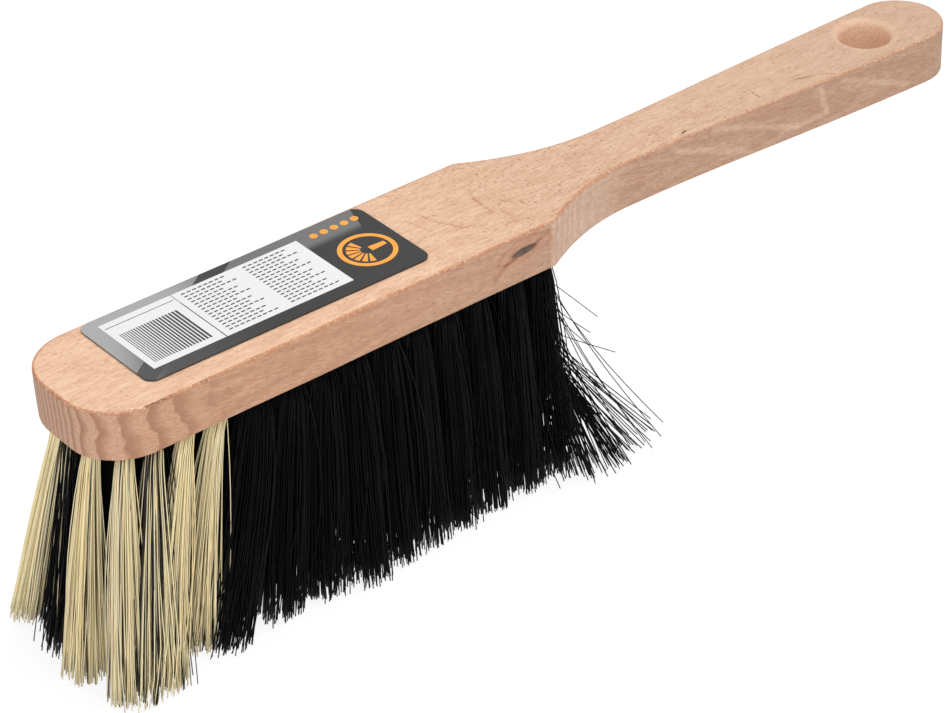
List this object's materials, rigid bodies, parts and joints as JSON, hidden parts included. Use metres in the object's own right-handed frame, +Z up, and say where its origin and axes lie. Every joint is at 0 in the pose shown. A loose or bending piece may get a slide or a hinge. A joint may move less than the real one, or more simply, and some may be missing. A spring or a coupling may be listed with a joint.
{
  "type": "hand brush",
  "caption": "Wooden hand brush: block and handle in one plank with a hang hole, and rows of flared filament tufts, straw-coloured round the toe and black behind.",
  "frame": {"origin": "on the surface that the bristle tips stand on, under the middle of the brush's whole footprint", "axes": "+X from the toe of the block to the end of the handle, +Y across the block to the side that the label lies along, +Z up out of the bare top of the plank"},
  "size_m": [0.3028, 0.065, 0.0747],
  "materials": {
    "beech": "planed and sanded, unvarnished",
    "label_film": "satin printed film",
    "cream_filament": "straw-coloured monofilament, soft sheen",
    "black_filament": "black monofilament, soft sheen"
  },
  "bodies": {
    "root": {"wooden_body": "beech", "label_sticker": "label_film", "rim_tuft_01": "black_filament", "rim_tuft_02": "black_filament", "rim_tuft_03": "black_filament", "rim_tuft_04": "black_filament", "rim_tuft_05": "black_filament", "rim_tuft_06": "black_filament", "rim_tuft_07": "black_filament", "rim_tuft_08": "black_filament", "rim_tuft_09": "black_filament", "rim_tuft_10": "black_filament", "rim_tuft_11": "cream_filament", "rim_tuft_12": "cream_filament", "rim_tuft_13": "cream_filament", "rim_tuft_14": "cream_filament", "rim_tuft_15": "cream_filament", "rim_tuft_16": "black_filament", "rim_tuft_17": "cream_filament", "rim_tuft_18": "cream_filament", "rim_tuft_19": "cream_filament", "rim_tuft_20": "cream_filament", "rim_tuft_21": "cream_filament", "rim_tuft_22": "black_filament", "rim_tuft_23": "black_filament", "rim_tuft_24": "black_filament", "rim_tuft_25": "black_filament", "rim_tuft_26": "black_filament", "rim_tuft_27": "black_filament", "rim_tuft_28": "black_filament", "rim_tuft_29": "black_filament", "rim_tuft_30": "black_filament", "rim_tuft_31": "black_filament", "near_core_tuft_01": "black_filament", "near_core_tuft_02": "black_filament", "near_core_tuft_03": "black_filament", "near_core_tuft_04": "black_filament", "near_core_tuft_05": "black_filament", "near_core_tuft_06": "black_filament", "near_core_tuft_07": "black_filament", "near_core_tuft_08": "black_filament", "near_core_tuft_09": "black_filament", "near_core_tuft_10": "black_filament", "near_core_tuft_11": "black_filament", "near_core_tuft_12": "black_filament", "near_core_tuft_13": "black_filament", "far_core_tuft_01": "black_filament", "far_core_tuft_02": "black_filament", "far_core_tuft_03": "black_filament", "far_core_tuft_04": "black_filament", "far_core_tuft_05": "black_filament", "far_core_tuft_06": "black_filament", "far_core_tuft_07": "black_filament", "far_core_tuft_08": "black_filament", "far_core_tuft_09": "black_filament", "far_core_tuft_10": "black_filament", "far_core_tuft_11": "black_filament", "far_core_tuft_12": "black_filament", "far_core_tuft_13": "black_filament"}
  },
  "joints": []
}
